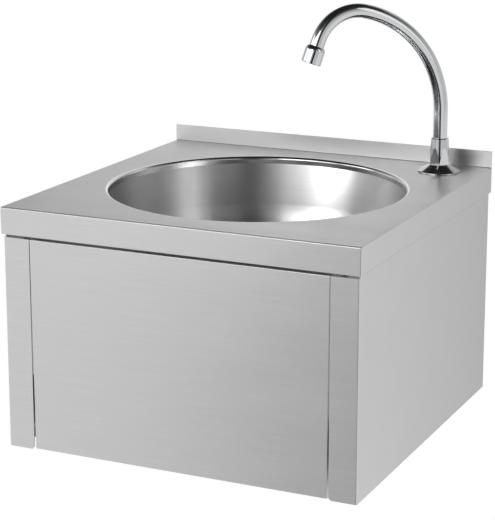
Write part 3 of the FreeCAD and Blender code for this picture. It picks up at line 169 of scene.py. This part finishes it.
def setWorld(s):
    world = bpy.data.worlds.new("studio")
    bpy.context.scene.world = world
    world.use_nodes = True
    tree = world.node_tree
    tree.nodes.clear()
    path = addNode(tree, "ShaderNodeLightPath")
    place = addNode(tree, "ShaderNodeTexCoord")
    apart = addNode(tree, "ShaderNodeSeparateXYZ", {0: place.outputs["Generated"]})
    share = addNode(tree, "ShaderNodeMapRange", {
        "Value": apart.outputs["Z"], "From Min": -1.0, "From Max": 1.0})
    room = addNode(tree, "ShaderNodeBackground", {"Color": levelRamp(tree, share.outputs[0], s["room"])})
    soft = addNode(tree, "ShaderNodeBackground", {"Color": (1, 1, 1, 1), "Strength": s["diffuseSky"]})
    white = addNode(tree, "ShaderNodeBackground", {"Color": (1, 1, 1, 1), "Strength": 1.0})
    lit = addNode(tree, "ShaderNodeMixShader", {
        0: path.outputs["Is Glossy Ray"], 1: soft.outputs[0], 2: room.outputs[0]})
    mixed = addNode(tree, "ShaderNodeMixShader", {
        0: path.outputs["Is Camera Ray"], 1: lit.outputs[0], 2: white.outputs[0]})
    addNode(tree, "ShaderNodeOutputWorld", {"Surface": mixed.outputs[0]})


def card(name, middle, facing, width, height, material):
    mesh = bpy.data.meshes.new(name)
    turn = Vector(facing).to_track_quat("Z", "Y").to_matrix()
    corners = [turn @ Vector((x * width / 2, y * height / 2, 0)) + Vector(middle)
               for x, y in ((-1, -1), (1, -1), (1, 1), (-1, 1))]
    mesh.from_pydata(corners, [], [(0, 1, 2, 3)])
    made = bpy.data.objects.new(name, mesh)
    bpy.context.scene.collection.objects.link(made)
    mesh.materials.append(material)
    return made


def addLamp(name, place, target, width, height, watts):
    lamp = bpy.data.lights.new(name, "AREA")
    lamp.shape, lamp.size, lamp.size_y, lamp.energy = "RECTANGLE", width, height, watts
    made = bpy.data.objects.new(name, lamp)
    bpy.context.scene.collection.objects.link(made)
    made.location = place
    made.rotation_mode = "QUATERNION"
    made.rotation_quaternion = (Vector(target) - Vector(place)).to_track_quat("-Z", "Y")
    made.visible_camera = False
    made.visible_glossy = False
    return made


def blankMaterial(name):
    made = bpy.data.materials.new(name)
    made.use_nodes = True
    made.node_tree.nodes.clear()
    return made, made.node_tree


def gradedPaper(name, stops):
    made, tree = blankMaterial(name)
    across = addNode(tree, "ShaderNodeSeparateXYZ", {0: objectPlace(tree)})
    share = addNode(tree, "ShaderNodeMapRange", {
        "Value": across.outputs["X"], "From Min": stops[0][0], "From Max": stops[-1][0]})
    glow = addNode(tree, "ShaderNodeEmission", {"Color": levelRamp(tree, share.outputs[0], stops)})
    addNode(tree, "ShaderNodeOutputMaterial", {"Surface": glow.outputs[0]})
    return made


def whiteFloor(s):
    made, tree = blankMaterial("floor_paper")
    share = addMath(tree, "MULTIPLY", seenRays(tree), s["floorGlow"])
    paper = addNode(tree, "ShaderNodeBsdfDiffuse", {"Color": hexColour(s["floorColour"])})
    glow = addNode(tree, "ShaderNodeEmission", {"Color": (1, 1, 1, 1), "Strength": s["floorWhite"]})
    mixed = addNode(tree, "ShaderNodeMixShader", {0: share, 1: paper.outputs[0], 2: glow.outputs[0]})
    addNode(tree, "ShaderNodeOutputMaterial", {"Surface": mixed.outputs[0]})
    return made


setWorld(studio)
for lampFacts in studio["lamps"]:
    addLamp(*lampFacts)
bowlLamp = addLamp(*studio["bowlLamp"])
bowlLamp.visible_glossy = True
bowlLamp.light_linking.receiver_collection = bpy.data.collections.new("lit_by_bowl_lamp")
bowlLamp.light_linking.receiver_collection.objects.link(nodes["bowl"])
for name, middle, facing, width, height, stops in studio["cards"]:
    paper = card(name, middle, facing, width, height, gradedPaper(name + "_paper", stops))
    paper.visible_camera = False
    paper.visible_shadow = False
    paper.visible_diffuse = False
card("floor", (0, 0, studio["floorLevel"]), (0, 0, 1), studio["floorSize"], studio["floorSize"],
     whiteFloor(studio))
print("camera, lamps and floor set")


noiseRange = {"low": 0.3, "high": 0.7}    # the noise seldom leaves it
grainDepth = 0.0001      # metres
glossFiner = 1.7         # patches of gloss are this much finer than patches of tone
threadDepth = 0.5        # of the pitch


def newMaterial(name, colour, **sockets):
    made, tree = blankMaterial(name)
    shader = addNode(tree, "ShaderNodeBsdfPrincipled", {"Base Color": hexColour(colour), **sockets})
    addNode(tree, "ShaderNodeOutputMaterial", {"Surface": shader.outputs["BSDF"]})
    return made, tree, shader


def noiseAt(tree, stretch, detail=3.0):
    scaled = addVector(tree, "MULTIPLY", objectPlace(tree), stretch)
    return addNode(tree, "ShaderNodeTexNoise", {
        "Vector": scaled, "Scale": 1.0, "Detail": detail, "Roughness": 0.6}).outputs["Fac"]


def unevenGloss(tree, shader, f, value):
    share = addNode(tree, "ShaderNodeMapRange", {
        "Value": value, "From Min": noiseRange["low"], "From Max": noiseRange["high"],
        "To Min": f["rough"] - f["play"], "To Max": f["rough"] + f["play"]})
    tree.links.new(share.outputs[0], shader.inputs["Roughness"])


def tint(tree, shader, value, dark, light):
    ramp = addNode(tree, "ShaderNodeValToRGB", {"Fac": value})
    for stop, place, colour in zip(ramp.color_ramp.elements, noiseRange.values(), (dark, light)):
        stop.position, stop.color = place, hexColour(colour)
    tree.links.new(ramp.outputs["Color"], shader.inputs["Base Color"])


def relief(tree, shader, height, strength, depth):
    bump = addNode(tree, "ShaderNodeBump", {"Height": height, "Strength": strength, "Distance": depth})
    if shader.inputs["Normal"].is_linked:
        tree.links.new(shader.inputs["Normal"].links[0].from_socket, bump.inputs["Normal"])
    tree.links.new(bump.outputs["Normal"], shader.inputs["Normal"])


def brushedSheet(f):
    made, tree, shader = newMaterial(f["name"], f["light"], Metallic=1.0, Anisotropic=f["smear"])
    across = addNode(tree, "ShaderNodeCombineXYZ", dict(zip("XYZ", f["across"])))
    tree.links.new(across.outputs[0], shader.inputs["Tangent"])
    lines = noiseAt(tree, f["lines"])
    tint(tree, shader, lines, f["dark"], f["light"])
    unevenGloss(tree, shader, f, noiseAt(tree, f["clouds"], detail=2.0))
    relief(tree, shader, lines, f["relief"], grainDepth)
    if "rim" in f:
        polishedRim(tree, shader, f["rim"], f["smear"])
    return made


def fromAxis(tree, middle):
    # the place seen from the bowl's upright axis, the same laid flat, and its distance from the axis
    outward = addVector(tree, "SUBTRACT", objectPlace(tree), middle)
    flat = addVector(tree, "MULTIPLY", outward, (1, 1, 0))
    return outward, flat, addVector(tree, "LENGTH", flat)


def polishedRim(tree, shader, r, smear):
    # the die that rolls the bowl's hole leaves its edge smooth, without grain
    outward, flat, radius = fromAxis(tree, r["middle"])
    blend = addNode(tree, "ShaderNodeMapRange", {
        "Value": radius, "From Min": r["radius"] - r["fade"], "From Max": r["radius"]}).outputs[0]
    sheetRough = shader.inputs["Roughness"].links[0].from_socket
    bumped = shader.inputs["Normal"].links[0].from_socket
    grain = bumped.node.inputs["Strength"]
    for target, low, high in ((shader.inputs["Roughness"], r["rough"], sheetRough),
                              (shader.inputs["Anisotropic"], 0.0, smear),
                              (grain, 0.0, grain.default_value)):
        mixed = addNode(tree, "ShaderNodeMapRange", {"Value": blend, "To Min": low, "To Max": high})
        tree.links.new(mixed.outputs[0], target)
    slope = rollSlope(tree, r, outward, flat, radius)
    whole = addNode(tree, "ShaderNodeMix", {0: blend, 4: slope, 5: bumped}, data_type="VECTOR")
    tree.links.new(whole.outputs[1], shader.inputs["Normal"])


def rollSlope(tree, r, outward, flat, radius):
    # the roll is a ring of round section, so its slope is worked out and not read off the triangles
    height = addNode(tree, "ShaderNodeSeparateXYZ", {0: outward}).outputs["Z"]
    above = addMath(tree, "MAXIMUM", addMath(tree, "SUBTRACT", height, r["level"]), 0.0)
    inward = addMath(tree, "SUBTRACT", radius, r["ring"])
    sideways = addVector(tree, "SCALE", addVector(tree, "NORMALIZE", flat), inward)
    upwards = addNode(tree, "ShaderNodeCombineXYZ", {"Z": above}).outputs[0]
    slope = addVector(tree, "NORMALIZE", addVector(tree, "ADD", sideways, upwards))
    face = addNode(tree, "ShaderNodeNewGeometry").outputs["True Normal"]
    side = addMath(tree, "SIGN", addVector(tree, "DOT_PRODUCT", slope, face))
    return addVector(tree, "SCALE", slope, side)


def spunBowl(f):
    # the finish runs round the bowl, so lines follow radius and height only, and light smears up the wall
    made, tree, shader = newMaterial(f["name"], f["light"], Metallic=1.0, Anisotropic=f["smear"])
    outward, _, radius = fromAxis(tree, f["middle"])
    leaning = addVector(tree, "MULTIPLY", outward, (f["lean"], f["lean"], 0.0))
    tree.links.new(addVector(tree, "ADD", leaning, (0, 0, 1)), shader.inputs["Tangent"])
    apart = addNode(tree, "ShaderNodeSeparateXYZ", {0: outward}).outputs
    turn = addMath(tree, "ARCTAN2", apart["Y"], apart["X"])
    spot = addNode(tree, "ShaderNodeCombineXYZ", {"X": radius, "Y": turn, "Z": apart["Z"]}).outputs[0]
    lines = addNode(tree, "ShaderNodeTexNoise", {
        "Vector": addVector(tree, "MULTIPLY", spot, f["lines"]), "Scale": 1.0, "Detail": 3.0}).outputs["Fac"]
    tint(tree, shader, lines, f["dark"], f["light"])
    unevenGloss(tree, shader, f, noiseAt(tree, f["clouds"], detail=2.0))
    relief(tree, shader, lines, f["relief"], grainDepth)
    return made


def toned(f):
    # even finish: faint change of tone and gloss, and the surface left by the mould, die or polishing wheel
    optional = (("Metallic", "metal"), ("Subsurface Weight", "glow"))
    sockets = {socket: f[key] for socket, key in optional if key in f}
    made, tree, shader = newMaterial(f["name"], f["light"], **sockets)
    tint(tree, shader, noiseAt(tree, f["clouds"]), f["dark"], f["light"])
    unevenGloss(tree, shader, f, noiseAt(tree, [glossFiner * c for c in f["clouds"]], detail=4.0))
    relief(tree, shader, noiseAt(tree, f["lines"]), f["relief"], grainDepth)
    for t in f.get("threads", ()):
        relief(tree, shader, screwThread(tree, t), 1.0, threadDepth * t["pitch"])
    return made


def screwThread(tree, t):
    # a helical V round the axis: distance along it plus the turned angle, folded into a zigzag
    moved = addVector(tree, "SUBTRACT", objectPlace(tree), t["at"])
    apart = addNode(tree, "ShaderNodeSeparateXYZ", {0: moved}).outputs
    side, up, along = (apart[letter] for letter in t["order"])
    if "twin" in t:
        side = addMath(tree, "SUBTRACT", addMath(tree, "ABSOLUTE", side), t["twin"])
    turns = addMath(tree, "MULTIPLY", addMath(tree, "ARCTAN2", up, side), 1 / (2 * math.pi))
    rise = addMath(tree, "MULTIPLY_ADD", along, 1 / t["pitch"], turns)
    fold = addMath(tree, "PINGPONG", rise, 0.5)
    above = addMath(tree, "GREATER_THAN", along, t["low"])
    below = addMath(tree, "LESS_THAN", along, t["high"])
    return addMath(tree, "MULTIPLY", fold, addMath(tree, "MULTIPLY", above, below))


# Colours are neutral. The belt's own lines of 0.05 mm are too fine to show, so they are drawn 1 mm apart.
satinSteel = {
    # belt-brushed sheet, grain left to right: a broad upright smear of light and a faint grain
    "name": "satin_belt_brushed_stainless", "dark": "#CCCCCC", "light": "#D2D2D2",
    "rough": 0.37, "play": 0.02, "smear": 0.6, "across": (0, 0.01, 1),
    "lines": (14, 900, 900), "clouds": (9, 30, 30), "relief": 0.03,
    "rim": {
        "middle": (0, -0.2, 0),
        "radius": 0.1642,        # the sheet's finish starts outside this
        "fade": 0.0012,
        "rough": 0.16,
        "ring": 0.1640,          # middle line of the roll: its radius and height
        "level": 0.1465,
    },
}
bowlSteel = {
    # deep-drawn, then polished round with a cloth wheel: upright bands of light on a soft gloss. Its tone is
    # set darker than the brushed sheet of the same steel: painted shade for the inside of the bowl
    # dark and light here are darker than the sheet's colours as painted shade, not a different steel
    "name": "drawn_and_polished_stainless", "dark": "#B6B6B6", "light": "#BBBBBB",
    "rough": 0.34, "play": 0.015, "smear": 0.7, "middle": (0, -0.2, 0),
    "lines": (500, 1.2, 500), "clouds": (14, 14, 14), "relief": 0.01,
    "lean": 0.1,             # the smear leans outwards by this share of the distance from the axis
}
millSteel = {
    # cold-rolled sheet left as it came: greyer than the brushed faces, with a dull even sheen
    "name": "cold_rolled_mill_stainless", "dark": "#A6A6A5", "light": "#B9B9B8",
    "rough": 0.38, "play": 0.05, "smear": 0.3, "across": (0, 0.01, 1),
    "lines": (30, 250, 250), "clouds": (25, 25, 25), "relief": 0.08,
}
turnedBrass = {
    # turned brass bar: warm, with fine rings from the tool and slightly tarnished patches
    "name": "turned_brass", "dark": "#B48D48", "light": "#CFAA62",
    "metal": 1.0, "rough": 0.27, "play": 0.07,
    "lines": (700, 700, 700), "clouds": (60, 60, 60), "relief": 0.12,
}
chromePlate = {
    # polished brass under bright chrome: a clear mirror with the faint waviness of polishing
    "name": "bright_chrome_plate", "dark": "#C6C7C9", "light": "#CDCED0",
    "metal": 1.0, "rough": 0.10, "play": 0.02,
    "lines": (40, 40, 40), "clouds": (35, 35, 35), "relief": 0.01,
}
finishFacts = {
    "fastener_steel": {
        # cold-headed stainless, tumbled bright: small soft highlights
        "name": "tumbled_bright_stainless", "dark": "#B0B0AF", "light": "#C4C4C3",
        "metal": 1.0, "rough": 0.24, "play": 0.06,
        "lines": (900, 900, 900), "clouds": (90, 90, 90), "relief": 0.1,
    },
    "chrome_plate": chromePlate,
    "brass": turnedBrass,
    "nickel_plate": {
        # dull nickel on a machined nut: slightly yellow against the steel, soft gloss
        "name": "dull_nickel_plate", "dark": "#B3AEA2", "light": "#C6C1B5",
        "metal": 1.0, "rough": 0.25, "play": 0.05,
        "lines": (500, 500, 500), "clouds": (70, 70, 70), "relief": 0.08,
    },
    "rubber": {
        # moulded black rubber: matt, with a grey bloom and a fine mould grain
        "name": "moulded_black_rubber", "dark": "#161617", "light": "#2A2A2B",
        "rough": 0.72, "play": 0.08,
        "lines": (1500, 1500, 1500), "clouds": (120, 120, 120), "relief": 0.3,
    },
    "nylon": {
        # injection-moulded natural nylon: ivory, light sinks a little into it
        "name": "moulded_natural_nylon", "dark": "#DAD7CA", "light": "#E6E3D9",
        "glow": 0.15, "rough": 0.45, "play": 0.06,
        "lines": (1200, 1200, 1200), "clouds": (150, 150, 150), "relief": 0.1,
    },
    "white_plastic": {
        # injection-moulded polypropylene: off-white and waxy, with slight flow marks
        "name": "moulded_polypropylene", "dark": "#D9D9D5", "light": "#E5E5E2",
        "glow": 0.08, "rough": 0.36, "play": 0.06,
        "lines": (800, 800, 800), "clouds": (30, 30, 60), "relief": 0.06,
    },
    "knob_plastic": {
        # moulded black nylon with a spark-eroded grain: dark, with broad soft highlights
        "name": "grained_black_nylon", "dark": "#1A1A1C", "light": "#29292B",
        "rough": 0.45, "play": 0.05,
        "lines": (2000, 2000, 2000), "clouds": (150, 150, 150), "relief": 0.35,
    },
    "spring_steel": {
        # drawn wire: grey, with a narrow bright line along each coil
        "name": "drawn_spring_wire", "dark": "#949493", "light": "#B0B0AF",
        "metal": 1.0, "rough": 0.28, "play": 0.05,
        "lines": (600, 600, 600), "clouds": (200, 200, 200), "relief": 0.1,
    },
    "steel_braid": {
        # bright stainless wire: each wire of the braid carries its own highlight
        "name": "bright_braid_wire", "dark": "#9E9E9D", "light": "#C2C2C1",
        "metal": 1.0, "rough": 0.26, "play": 0.05,
        "lines": (900, 900, 900), "clouds": (160, 160, 160), "relief": 0.1,
    },
}
# pieces with a thread that shows: its axis, pitch and where it runs along that axis, from the point "at"
threadFacts = {
    "spout_shank": (turnedBrass, [
        {"at": (0.152, -0.0425, 0.0), "order": "XYZ", "pitch": 0.001814, "low": 0.0955, "high": 0.1475},
    ]),
    "mixer_body": (turnedBrass, [
        # two inlets, each 28 mm to the side
        {"at": (0.1, -0.2732, 0.0), "order": "XYZ", "pitch": 0.001337, "low": -0.101, "high": -0.0865,
         "twin": 0.028},
    ]),
    "knee_valve_body": (turnedBrass, [
        {"at": (0.1, -0.3487, 0.0), "order": "XYZ", "pitch": 0.001337, "low": -0.0495, "high": -0.0375},
        {"at": (0.1, 0.0, -0.07), "order": "ZXY", "pitch": 0.0015, "low": -0.371, "high": -0.3625},
    ]),
    "waste_body": (chromePlate, [
        {"at": (0.0, -0.2, 0.0), "order": "XYZ", "pitch": 0.002309, "low": -0.0245, "high": -0.001},
    ]),
}
finishes = {
    "satin_steel": brushedSheet(satinSteel),
    "bowl_steel": spunBowl(bowlSteel),
    "mill_steel": brushedSheet(millSteel),
    **{slot: toned(facts) for slot, facts in finishFacts.items()},
}
threaded = {piece: toned({**base, "name": base["name"] + "_threaded_" + piece, "threads": threads})
            for piece, (base, threads) in threadFacts.items()}
nodeSlot = {part["node"]: part["material_slot"] for part in frame["record"]["subparts"]}
for name, piece in nodes.items():
    for place in piece.material_slots:
        place.material = threaded.get(name) or finishes[nodeSlot[name]]
print("materials assigned")

# The hose runs from the knee valve's outlet round the bowl to the foot of the spout.
hoseFacts = {
    "route": [
        (0.1, -0.3487, -0.03155), (0.1, -0.3487, 0.036), (0.165, -0.2, 0.015), (0.152, -0.0425, 0.008),
        (0.152, -0.0425, 0.08855),
    ],
    "routeSteps": 32,        # between two points of the route
    "diameter": 0.012,
    "length": 0.4267,
    "core": 0.0049,          # rubber core under the braid
    "coreSides": 20,
    "braid": 0.00535,        # middle line of the wires
    "weave": 0.0003,         # each wire goes over and under by this
    "wire": 0.00035,
    "wireSides": 4,
    "wires": 14,             # each way round; a real braid has more and finer ones
    "turns": 11.5,
    "steps": 60,             # points on each turn of a wire
}


def routeCurve(h):
    line = bpy.data.curves.new("hose_route", "CURVE")
    line.dimensions = "3D"
    line.resolution_u = h["routeSteps"]
    spline = line.splines.new("NURBS")
    spline.points.add(len(h["route"]) - 1)
    for spot, place in zip(spline.points, h["route"]):
        spot.co = (*place, 1)
    spline.order_u = 3
    spline.use_endpoint_u = True
    made = bpy.data.objects.new("hose_route", line)
    bpy.context.scene.collection.objects.link(made)
    bpy.context.view_layer.update()
    return made


def evaluatedMesh(made):
    return bpy.data.meshes.new_from_object(made.evaluated_get(bpy.context.evaluated_depsgraph_get()))


def wiresOneWay(tree, given, route, way):
    # straight helices of height 1, bent along the route: height is the share of its length
    helix = addNode(tree, "GeometryNodeCurveSpiral", {
        "Resolution": given["Steps"], "Rotations": given["Turns"], "Start Radius": given["Braid radius"],
        "End Radius": given["Braid radius"], "Height": 1.0, "Reverse": way < 0})
    starts = addNode(tree, "GeometryNodePoints", {"Count": given["Wires"]})
    index = addNode(tree, "GeometryNodeInputIndex")
    turn = addMath(tree, "MULTIPLY", index.outputs[0], addMath(tree, "DIVIDE", 2 * math.pi, given["Wires"]))
    copies = addNode(tree, "GeometryNodeInstanceOnPoints", {
        "Points": starts.outputs[0], "Instance": helix.outputs[0],
        "Rotation": addNode(tree, "ShaderNodeCombineXYZ", {"Z": turn}).outputs[0]})
    single = addNode(tree, "GeometryNodeRealizeInstances", {"Geometry": copies.outputs[0]})
    spot = addNode(tree, "ShaderNodeSeparateXYZ", {0: addNode(tree, "GeometryNodeInputPosition").outputs[0]})
    phase = addMath(tree, "MULTIPLY", addMath(tree, "MULTIPLY", given["Wires"], given["Turns"]), 2 * math.pi)
    wave = addMath(tree, "COSINE", addMath(tree, "MULTIPLY", spot.outputs["Z"], phase))
    lift = addMath(tree, "MULTIPLY", wave, addMath(tree, "DIVIDE", given["Weave"], given["Braid radius"]))
    grown = addMath(tree, "ADD", addMath(tree, "MULTIPLY", lift, float(way)), 1.0)
    at = addNode(tree, "GeometryNodeSampleCurve", {
        "Curves": route, "Factor": spot.outputs["Z"]}, mode="FACTOR").outputs
    sideways = addVector(tree, "CROSS_PRODUCT", at["Tangent"], at["Normal"])
    first = addVector(tree, "SCALE", at["Normal"], addMath(tree, "MULTIPLY", spot.outputs["X"], grown))
    second = addVector(tree, "SCALE", sideways, addMath(tree, "MULTIPLY", spot.outputs["Y"], grown))
    place = addVector(tree, "ADD", at["Position"], addVector(tree, "ADD", first, second))
    bent = addNode(tree, "GeometryNodeSetPosition", {"Geometry": single.outputs[0], "Position": place})
    profile = addNode(tree, "GeometryNodeCurvePrimitiveCircle", {
        "Resolution": given["Wire sides"], "Radius": given["Wire radius"]})
    return addNode(tree, "GeometryNodeCurveToMesh", {
        "Curve": bent.outputs[0], "Profile Curve": profile.outputs[0]}).outputs[0]


def braidTree():
    tree = bpy.data.node_groups.new("braided_hose", "GeometryNodeTree")
    kinds = {
        "Geometry": "Geometry", "Route": "Object", "Core radius": "Float", "Core sides": "Int",
        "Braid radius": "Float", "Weave": "Float", "Wire radius": "Float", "Wire sides": "Int",
        "Wires": "Int", "Turns": "Float", "Steps": "Int", "Core material": "Material",
        "Wire material": "Material",
    }
    for name, kind in kinds.items():
        tree.interface.new_socket(name=name, in_out="INPUT", socket_type="NodeSocket" + kind)
    tree.interface.new_socket(name="Geometry", in_out="OUTPUT", socket_type="NodeSocketGeometry")
    given = addNode(tree, "NodeGroupInput").outputs
    route = addNode(tree, "GeometryNodeObjectInfo", {"Object": given["Route"]}).outputs["Geometry"]
    profile = addNode(tree, "GeometryNodeCurvePrimitiveCircle", {
        "Resolution": given["Core sides"], "Radius": given["Core radius"]})
    core = addNode(tree, "GeometryNodeCurveToMesh", {
        "Curve": route, "Profile Curve": profile.outputs[0], "Fill Caps": True})
    inner = addNode(tree, "GeometryNodeSetMaterial", {
        "Geometry": core.outputs[0], "Material": given["Core material"]})
    wires = addNode(tree, "GeometryNodeJoinGeometry")
    for way in (1, -1):
        tree.links.new(wiresOneWay(tree, given, route, way), wires.inputs[0])
    outer = addNode(tree, "GeometryNodeSetMaterial", {
        "Geometry": wires.outputs[0], "Material": given["Wire material"]})
    whole = addNode(tree, "GeometryNodeJoinGeometry")
    tree.links.new(inner.outputs[0], whole.inputs[0])
    tree.links.new(outer.outputs[0], whole.inputs[0])
    smooth = addNode(tree, "GeometryNodeSetShadeSmooth", {"Geometry": whole.outputs[0]})
    addNode(tree, "NodeGroupOutput", {"Geometry": smooth.outputs[0]})
    return tree


def braidedHose(h):
    route = routeCurve(h)
    path = [v.co.copy() for v in evaluatedMesh(route).vertices]
    made = bpy.data.objects.new("supply_hose_braided", bpy.data.meshes.new("supply_hose_braided"))
    bpy.context.scene.collection.objects.link(made)
    modifier = made.modifiers.new("braid", "NODES")
    modifier.node_group = braidTree()
    values = {
        "Route": route, "Core radius": h["core"], "Core sides": h["coreSides"], "Braid radius": h["braid"],
        "Weave": h["weave"], "Wire radius": h["wire"], "Wire sides": h["wireSides"], "Wires": h["wires"],
        "Turns": h["turns"], "Steps": h["steps"], "Core material": finishes["rubber"],
        "Wire material": finishes["steel_braid"],
    }
    for item in modifier.node_group.interface.items_tree:
        if item.in_out == "INPUT" and item.name in values:
            modifier[item.identifier] = values[item.name]
    mesh = evaluatedMesh(made)
    made.modifiers.remove(modifier)
    made.data = mesh
    bpy.data.objects.remove(route)
    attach(made, "basin")
    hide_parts("supply_hose")
    print("hose:", len(mesh.polygons), "faces,", len(path), "route points")


braidedHose(hoseFacts)

bpy.context.view_layer.update()
